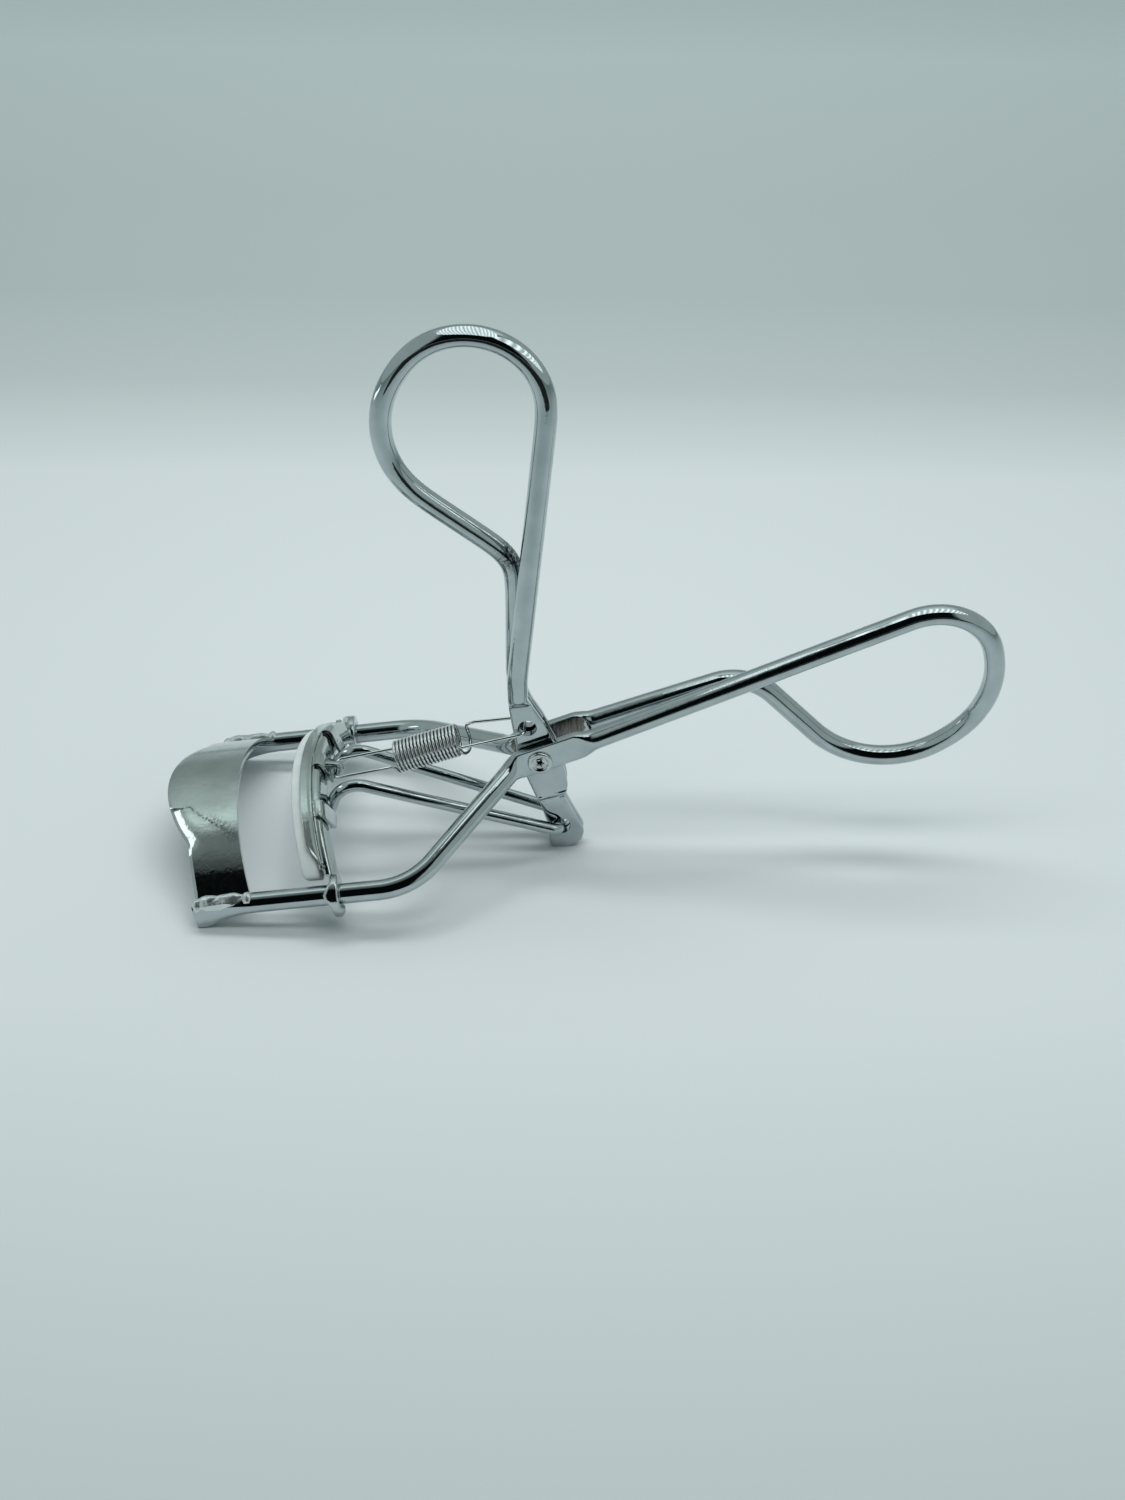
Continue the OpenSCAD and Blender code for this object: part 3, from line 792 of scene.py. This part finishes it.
# Radius and distance from the middle plane, once round the tube's wall
RIVET_PROFILE = ((0.28, 0.5), (0.28, 0.15), (0.6, 0.15), (1.3, 0.15), (1.3, 0.4), (0.95, 0.4),
                 (0.95, 2.75), (1.46, 2.75), (1.56, 2.82), (1.58, 2.93), (1.52, 3.06), (1.42, 3.13),
                 (1.3, 3.15), (1.16, 3.12), (1.02, 3.02), (0.9, 2.9), (0.8, 2.87), (0.7, 2.92),
                 (0.6, 3), (0.5, 3), (0.4, 2.9), (0.32, 2.7), (0.28, 2.4), (0.28, 1.6))


def make_rivet(name, side):
    mesh = bpy.data.meshes.new(name)
    count = len(RIVET_PROFILE)
    mesh.from_pydata([(PIVOT.x + radius, side * y, PIVOT.z) for radius, y in RIVET_PROFILE],
                     [(i, (i + 1) % count) for i in range(count)], [])
    rivet = bpy.data.objects.new(name, mesh)
    bpy.context.collection.objects.link(rivet)
    only(rivet)
    bpy.ops.object.mode_set(mode="EDIT")
    bpy.ops.mesh.select_all(action="SELECT")
    bpy.ops.mesh.spin(steps=60, angle=2 * math.pi, center=PIVOT, axis=(0, 1, 0))
    bpy.ops.mesh.select_all(action="SELECT")
    bpy.ops.mesh.remove_doubles(threshold=0.001)
    bpy.ops.mesh.normals_make_consistent(inside=False)
    bpy.ops.object.mode_set(mode="OBJECT")
    for vertex in mesh.vertices:
        out = Vector((vertex.co.x - PIVOT.x, 0, vertex.co.z - PIVOT.z))
        if abs(vertex.co.y) > 1.5 and out.length < 0.7:
            angle = math.atan2(out.z, out.x)
            vertex.co += out * 0.3 * math.cos(5 * angle + 0.6) * (1 - ramp(out.length, 0.4, 0.7))
    smooth(rivet, 50)
    return rivet


# Slider: a strip behind the pad holder, an eye on each rail, link leaves, a spring tab and lugs

# Outlines in x and z of the leaves that hold the links' front pins, and of the tab for the spring's hook
LEAF = ((15.6, 5.8), (16.5, 5.8), (17, 4), (17.4, 3.1), (17.2, 2), (16.4, 1.5), (15.5, 1.7), (14.95, 2.5),
        (15, 3.5))
SPRING_TAB = ((16.2, 5.2), (17.4, 5.5), (18.6, 6.2), (18.75, 7), (18.2, 7.8), (17.2, 8), (16.2, 8.2))
LEAF_Y = 5.3
LEAF_T = 0.8


def make_slider():
    parts = []
    half_span = math.asin((RAIL_Y - 1.7) / ARC_R)
    points = [on_arc(PLATE_X, ARC_R, half_span * (k / 60 - 1)) for k in range(121)]
    strip = sweep("slider_strip", points, 1, STRIP_SIDES)
    for i, centre in enumerate(points):
        angle = half_span * (i / 60 - 1)
        out = Vector((0, math.sin(angle), math.cos(angle)))
        for j in range(STRIP_SIDES):
            vertex = strip.data.vertices[i * STRIP_SIDES + j]
            offset = vertex.co - centre
            rise = squarish(offset.dot(out), 0.4) * CHANNEL_H
            deep = squarish(offset.x, 0.6) * PLATE_HALF
            vertex.co = on_arc(PLATE_X + deep, ARC_R + rise, angle)
    parts.append(strip)
    for side in (-1, 1):
        parts.append(make_eye(side))
        parts.append(flat_plate("link_leaf", LEAF, side * LEAF_Y, LEAF_T, 0.2))
    parts.append(flat_plate("spring_tab", SPRING_TAB, 0, LEAF_T, 0.16))
    for turn in (-LUG_ANGLE, 0, LUG_ANGLE):
        parts.append(make_lug(turn))
    slider = join("slider_strip", parts)
    cross_holes(slider, [(LEAF_HOLE, LEAF_HOLE_R, 2 * CUT_HALF), (HOOK_FRONT, SPRING_HOLE_R, LEAF_T)])
    smooth(slider, 40)
    return slider


# How far an eye's front is drawn to a point outside the rail, its foot down, and its rear edge to a lip
EYE_POINT = 0.85
EYE_FOOT = 0.55
EYE_LIP = 0.5
# Where on the ring they are, in degrees up from straight outside
POINT_TURN = 38
FOOT_TURN = -90
LIP_TURN = -35


def make_eye(side):
    """An eye that runs on a rail: a flat-sided ring with a point in front, a lip behind and a foot."""
    inner, outer = WIRE_R + 0.08, 2.6
    bpy.ops.mesh.primitive_torus_add(major_segments=64, minor_segments=20, major_radius=(inner + outer) / 2,
                                     minor_radius=(outer - inner) / 2, rotation=(0, math.pi / 2, 0),
                                     location=(PLATE_X, side * RAIL_Y, 0))
    eye = bpy.context.object
    only(eye)
    bpy.ops.object.transform_apply(location=True, rotation=True, scale=True)
    half = (outer - inner) / 2
    for vertex in eye.data.vertices:
        across = vertex.co - Vector((PLATE_X, side * RAIL_Y, 0))
        radius = math.hypot(across.y, across.z)
        wall = (radius - (inner + outer) / 2) / half
        ring = squarish(wall, 0.6) * half + (inner + outer) / 2
        deep = squarish(across.x / half, 0.55) * PLATE_HALF
        turn = math.degrees(math.atan2(across.z, side * across.y))
        foot = 1 - ramp(abs(turn - FOOT_TURN), 10, 55)
        ring += EYE_FOOT * foot * (ring - inner) / (outer - inner)
        if across.x > 0:
            deep += EYE_LIP * max(0, 1 - abs(turn - LIP_TURN) / 30)
        else:
            deep -= EYE_POINT * max(0, 1 - abs(turn - POINT_TURN) / 40)
        grown = across * ring / radius
        vertex.co = Vector((PLATE_X + deep, side * RAIL_Y + grown.y, grown.z))
    return eye


# A lug's fold, from its root to its tip: how far behind the strip, and the radius from the arc's centre
LUG_FOLD = ((0.75, 22.2), (0.62, 23.4), (0.58, 24.5), (0.5, 25.05), (0.28, 25.4), (-0.05, 25.52),
            (-0.4, 25.5), (-0.75, 25.42))


def make_lug(turn):
    """A lug that comes up behind the holder and is folded forward over it."""
    last = len(LUG_FOLD) - 1
    stations_x = [(i / last, PLATE_BACK + behind) for i, (behind, radius) in enumerate(LUG_FOLD)]
    stations_r = [(i / last, radius) for i, (behind, radius) in enumerate(LUG_FOLD)]

    def place(u, v):
        half = (1.15 + 0.15 * (1 - ramp(u, 0, 0.5))) / ARC_R
        return on_arc(follow(u, stations_x), follow(u, stations_r), turn + half * (2 * v - 1))

    lug = bent_grid("holder_lug", 29, 8, place)
    thicken(lug, LUG_T, 0.1)
    return lug


# Pad holder: a channel bent round the arc, open towards the jaw

def make_holder():
    mouth, back = HOLDER_FRONT, HOLDER_BACK + 0.12

    def place(u, v):
        angle = HOLDER_HALF * (2 * v - 1)
        end = ramp(abs(2 * v - 1), 0.8, 1)
        lip = mouth + 1.5 * end
        deep = back - lip
        profile = ((0, lip, 1.5), (0.06, lip + 0.1 * deep, 1.56), (0.16, lip + 0.5 * deep, 1.46),
                   (0.28, back - 0.1, 1.54), (0.33, back, 1.45), (0.38, back, 1.1), (0.62, back, -1.1),
                   (0.68, back - 0.12, -1.38), (0.75, back - 0.4, -1.5), (1, lip, -1.5))
        x = follow(u, [(t, px) for t, px, rise in profile])
        rise = follow(u, [(t, rise) for t, px, rise in profile])
        return on_arc(x, ARC_R + rise, angle)

    holder = bent_grid("pad_channel", 49, 120, place)
    thicken(holder, CHANNEL_T, 0.1)
    smooth(holder, 40)
    return holder


# Lash pad: a silicone strip with a rounded lip and rounded ends

def make_pad():
    middle, half_deep, half_h = (PAD_FRONT + PAD_BACK) / 2, (PAD_BACK - PAD_FRONT) / 2, 1
    points = [on_arc(middle, ARC_R, PAD_HALF * (k / 70 - 1)) for k in range(141)]
    points, shares = dome_ends(points, 0.8)
    pad = sweep("lash_pad_strip", points, 1, WIRE_SIDES, shares)
    for i, centre in enumerate(points):
        angle = math.atan2(centre.y, centre.z - ARC_Z)
        out = Vector((0, math.sin(angle), math.cos(angle)))
        for j in range(WIRE_SIDES):
            vertex = pad.data.vertices[i * WIRE_SIDES + j]
            offset = (vertex.co - centre) / shares[i]
            rise = squarish(offset.dot(out), 0.42) * half_h * (0.75 + 0.25 * shares[i])
            deep = squarish(offset.x, 0.42) * half_deep * (0.7 + 0.3 * shares[i])
            vertex.co = centre + out * rise + Vector((deep - rise * math.cos(angle) * BITE_LEAN, 0, 0))
    smooth(pad, 60)
    return pad


frame_wire = make_frame_wire()
stand(frame_wire, "frame", "chrome_wire", wire_chrome, "frame_wire")
frame_wire.data.materials.append(bare_cheek)
stand(make_lever_wire(), "lever", "chrome_wire", lever_chrome, "lever_wire")
stand(make_link("near_link_wire", -1), "link_near", "chrome_link", wire_chrome, "near_link")
stand(make_link("far_link_wire", 1), "link_far", "chrome_link", wire_chrome, "far_link")
spring, coil_ends = make_spring()
tuple(coil_ends[0])
tuple(coil_ends[1])
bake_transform(spring)
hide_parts("return_spring")

stand(make_jaw(), "frame", "chrome_sheet", jaw_chrome, "fixed_jaw")
stand(make_braze("near_jaw_braze_bead", -1), "frame", "braze", braze_chrome, "near_jaw_braze")
stand(make_braze("far_jaw_braze_bead", 1), "frame", "braze", braze_chrome, "far_jaw_braze")
stand(make_rivet("near_rivet_rolled", -1), "frame", "rivet", rivet_chrome, "near_rivet")
stand(make_rivet("far_rivet_rolled", 1), "frame", "rivet", rivet_chrome, "far_rivet")
stand(make_slider(), "slider", "chrome_sheet", sheet_chrome, "slider_plate")
stand(make_holder(), "slider", "chrome_sheet", sheet_chrome, "pad_holder")
stand(make_pad(), "slider", "silicone", white_silicone, "lash_pad")


# Studio, in metres: a pale floor, two strip lamps overhead, and the world and cards that the metal reflects

# Colours of the floor by depth, from the front to the back: painted light and shade, paler near the part,
# darker towards the front and in a band behind it, and lighter again further back against the lamps'
# falloff
FLOOR_LIGHT_AND_SHADE_STOPS = ((0.14, (0.68, 0.73, 0.75)), (0.4, (0.705, 0.755, 0.775)), (0.47, (0.545, 0.61, 0.615)),
               (0.55, (0.52, 0.59, 0.595)), (0.65, (0.585, 0.66, 0.668)))
# Brightness of the world round the part, from high in front, over the top, to the back
WORLD_STOPS = ((0.398, 0.09), (0.43, 0.14), (0.47, 0.24), (0.53, 0.28), (0.56, 0.6), (0.59, 1.05),
               (0.62, 1), (0.66, 0.76), (0.72, 0.64), (0.78, 0.5), (0.84, 0.4), (0.92, 0.38))
PANEL_Z = 0.09
LAMP_Z = 0.32
LAMP_WIDTH = 0.34
LAMP_DEPTH = 0.07


def make_floor():
    bpy.ops.mesh.primitive_plane_add(size=6, location=(0, 0, -0.02 * MM))
    floor = bpy.context.object
    floor.name = "studio_floor"
    material = bpy.data.materials.new("floor_paper")
    material.use_nodes = True
    nodes, links = material.node_tree.nodes, material.node_tree.links
    shader = nodes["Principled BSDF"]
    shader.inputs["Roughness"].default_value = 0.8
    shader.inputs["Specular IOR Level"].default_value = 0.2
    place = nodes.new("ShaderNodeTexCoord")
    split = nodes.new("ShaderNodeSeparateXYZ")
    depth = nodes.new("ShaderNodeMapRange")
    depth.inputs["From Min"].default_value = -0.1
    depth.inputs["From Max"].default_value = 0.4
    # Painted light and shade: the floor's colour changes with depth as the lamps' light would
    shade = nodes.new("ShaderNodeValToRGB")
    stops = shade.color_ramp.elements
    stops[0].position = 0
    stops[0].color = (0.55, 0.61, 0.62, 1)
    stops[1].position = 0.86
    stops[1].color = (0.77, 0.865, 0.875, 1)
    for position, colour in FLOOR_LIGHT_AND_SHADE_STOPS:
        stop = stops.new(position)
        stop.color = (*colour, 1)
    links.new(place.outputs["Object"], split.inputs["Vector"])
    links.new(split.outputs["Y"], depth.inputs["Value"])
    links.new(depth.outputs["Result"], shade.inputs["Fac"])
    links.new(shade.outputs["Color"], shader.inputs["Base Color"])
    floor.data.materials.append(material)


def show_to_metal_only(card):
    """Puts a card on the stage where only the metal's reflections see it."""
    card.visible_camera = False
    card.visible_diffuse = False
    card.visible_shadow = False
    card.visible_transmission = False


def make_dark_room():
    """A dark card on the floor in front of the part, which only the metal's reflections see."""
    bpy.ops.mesh.primitive_plane_add(size=1)
    card = bpy.context.object
    card.name = "dark_room"
    for vertex in card.data.vertices:
        front = vertex.co.y < 0
        vertex.co = (math.copysign(0.9 if front else 0.11, vertex.co.x), -1.1 if front else -0.135, 0.0005)
    material = bpy.data.materials.new("dark_card")
    material.use_nodes = True
    shader = material.node_tree.nodes["Principled BSDF"]
    shader.inputs["Base Color"].default_value = (0.012, 0.013, 0.014, 1)
    shader.inputs["Roughness"].default_value = 0.9
    card.data.materials.append(material)
    show_to_metal_only(card)


def make_world():
    world = bpy.data.worlds.new("studio_world")
    bpy.context.scene.world = world
    world.use_nodes = True
    nodes, links = world.node_tree.nodes, world.node_tree.links
    back = nodes["Background"]
    place = nodes.new("ShaderNodeTexCoord")
    split = nodes.new("ShaderNodeSeparateXYZ")
    front = nodes.new("ShaderNodeMath")
    front.operation = "MULTIPLY"
    front.inputs[1].default_value = -1
    sweep_angle = nodes.new("ShaderNodeMath")
    sweep_angle.operation = "ARCTAN2"
    turn = nodes.new("ShaderNodeMath")
    turn.operation = "DIVIDE"
    turn.inputs[1].default_value = math.pi
    shade = nodes.new("ShaderNodeValToRGB")
    stops = shade.color_ramp.elements
    stops[0].position = 0.385
    stops[0].color = (0.003, 0.004, 0.004, 1)
    stops[1].position = 1
    stops[1].color = (0.5, 0.58, 0.58, 1)
    for position, level in WORLD_STOPS:
        stop = stops.new(position)
        stop.color = (level * 0.86, level, level * 0.97, 1)
    wide = nodes.new("ShaderNodeMath")
    wide.operation = "ABSOLUTE"
    wall = nodes.new("ShaderNodeMapRange")
    wall.interpolation_type = "SMOOTHSTEP"
    wall.inputs["From Min"].default_value = 0.42
    wall.inputs["From Max"].default_value = 0.56
    room = nodes.new("ShaderNodeMix")
    room.data_type = "RGBA"
    room.inputs["B"].default_value = (0.42, 0.49, 0.48, 1)
    links.new(split.outputs["X"], wide.inputs[0])
    links.new(wide.outputs["Value"], wall.inputs["Value"])
    links.new(wall.outputs["Result"], room.inputs["Factor"])
    links.new(shade.outputs["Color"], room.inputs["A"])
    links.new(place.outputs["Generated"], split.inputs["Vector"])
    links.new(split.outputs["Y"], front.inputs[0])
    links.new(split.outputs["Z"], sweep_angle.inputs[0])
    links.new(front.outputs["Value"], sweep_angle.inputs[1])
    links.new(sweep_angle.outputs["Value"], turn.inputs[0])
    links.new(turn.outputs["Value"], shade.inputs["Fac"])
    rays = nodes.new("ShaderNodeLightPath")
    seen = nodes.new("ShaderNodeMix")
    seen.data_type = "RGBA"
    seen.inputs["B"].default_value = (0.42, 0.5, 0.5, 1)
    links.new(rays.outputs["Is Camera Ray"], seen.inputs["Factor"])
    links.new(room.outputs["Result"], seen.inputs["A"])
    links.new(seen.outputs["Result"], back.inputs["Color"])
    back.inputs["Strength"].default_value = 1


def make_lamp(name, place, power):
    """A strip lamp that is aimed at the part, and that the metal doesn't reflect."""
    data = bpy.data.lights.new(name, "AREA")
    data.shape = "RECTANGLE"
    data.size = LAMP_WIDTH
    data.size_y = LAMP_DEPTH
    data.energy = power
    lamp = bpy.data.objects.new(name, data)
    bpy.context.collection.objects.link(lamp)
    lamp.location = place
    lamp.visible_glossy = False
    lamp.rotation_euler = (-Vector(place)).to_track_quat("-Z", "Y").to_euler()


def glow(name, strength):
    """A black material that gives off a pale light."""
    material = bpy.data.materials.new(name)
    material.use_nodes = True
    shader = material.node_tree.nodes["Principled BSDF"]
    shader.inputs["Base Color"].default_value = (0, 0, 0, 1)
    shader.inputs["Emission Color"].default_value = (0.92, 1, 0.99, 1)
    shader.inputs["Emission Strength"].default_value = strength
    return material


def make_lamp_panel(name, centre, half_x, half_y, row_gap):
    """A panel of small lights over a finger loop, which only the metal's reflections see."""
    bpy.ops.mesh.primitive_circle_add(vertices=48, radius=1, fill_type="NGON")
    panel = bpy.context.object
    panel.name = name
    for vertex in panel.data.vertices:
        vertex.co = (centre[0] + half_x * vertex.co.x, centre[1] + half_y * vertex.co.y, PANEL_Z)
    material = glow(name + "_glow", 1)
    nodes, links = material.node_tree.nodes, material.node_tree.links
    place = nodes.new("ShaderNodeTexCoord")
    rows = nodes.new("ShaderNodeTexWave")
    # A wave of scale 1 repeats every tenth of pi metres
    rows.inputs["Scale"].default_value = math.pi / 10 / row_gap
    level = nodes.new("ShaderNodeMapRange")
    level.inputs["To Min"].default_value = 0.75
    level.inputs["To Max"].default_value = 2
    links.new(place.outputs["Object"], rows.inputs["Vector"])
    links.new(rows.outputs["Fac"], level.inputs["Value"])
    links.new(level.outputs["Result"], nodes["Principled BSDF"].inputs["Emission Strength"])
    panel.data.materials.append(material)
    show_to_metal_only(panel)


def make_glint_card():
    """A small bright card left of the jaw that glints in the flare of its front edge."""
    jaw_edge = Vector((-0.05, -0.0085, 0.0115))
    away = Vector((-0.592, 0.244, 0.769))
    long_way = away.cross(Vector((1, 0, 0))).normalized()
    short_way = long_way.cross(away).normalized()
    bpy.ops.mesh.primitive_plane_add(size=2)
    card = bpy.context.object
    card.name = "glint_card"
    for vertex in card.data.vertices:
        vertex.co = (jaw_edge + 0.06 * away + 0.016 * vertex.co.x * long_way
                     + (0.0065 * vertex.co.y - 0.005) * short_way)
    card.data.materials.append(glow("glint", 2.2))
    show_to_metal_only(card)


def make_camera():
    """The camera of the photograph, solved from its straight rails, round loops and table."""
    heading, dip, roll = (math.radians(angle) for angle in (2.371, 36.793, 1.874))
    data = bpy.data.cameras.new("photo_camera")
    data.lens = 47.231
    data.sensor_width = 36
    data.clip_start = 0.01
    camera = bpy.data.objects.new("photo_camera", data)
    bpy.context.collection.objects.link(camera)
    camera.matrix_world = (Matrix.Translation(Vector((-10.495, -202.225, 166.485)) * MM)
                           @ Matrix.Rotation(-heading, 4, "Z") @ Matrix.Rotation(math.pi / 2 - dip, 4, "X")
                           @ Matrix.Rotation(roll, 4, "Z"))
    bpy.context.scene.camera = camera


make_floor()
make_dark_room()
make_world()
make_lamp_panel("lever_loop_panel", (-0.0156, -0.003), 0.0125, 0.02, 0.0015)
make_lamp_panel("handle_loop_panel", (0.05, -0.012), 0.055, 0.022, 0.0077)
make_glint_card()
make_lamp("front_strip_lamp", (0, -0.075, LAMP_Z), 0.3)
make_lamp("back_strip_lamp", (0, 0.085, LAMP_Z), 0.45)
make_camera()
bpy.context.scene.view_settings.view_transform = "Standard"
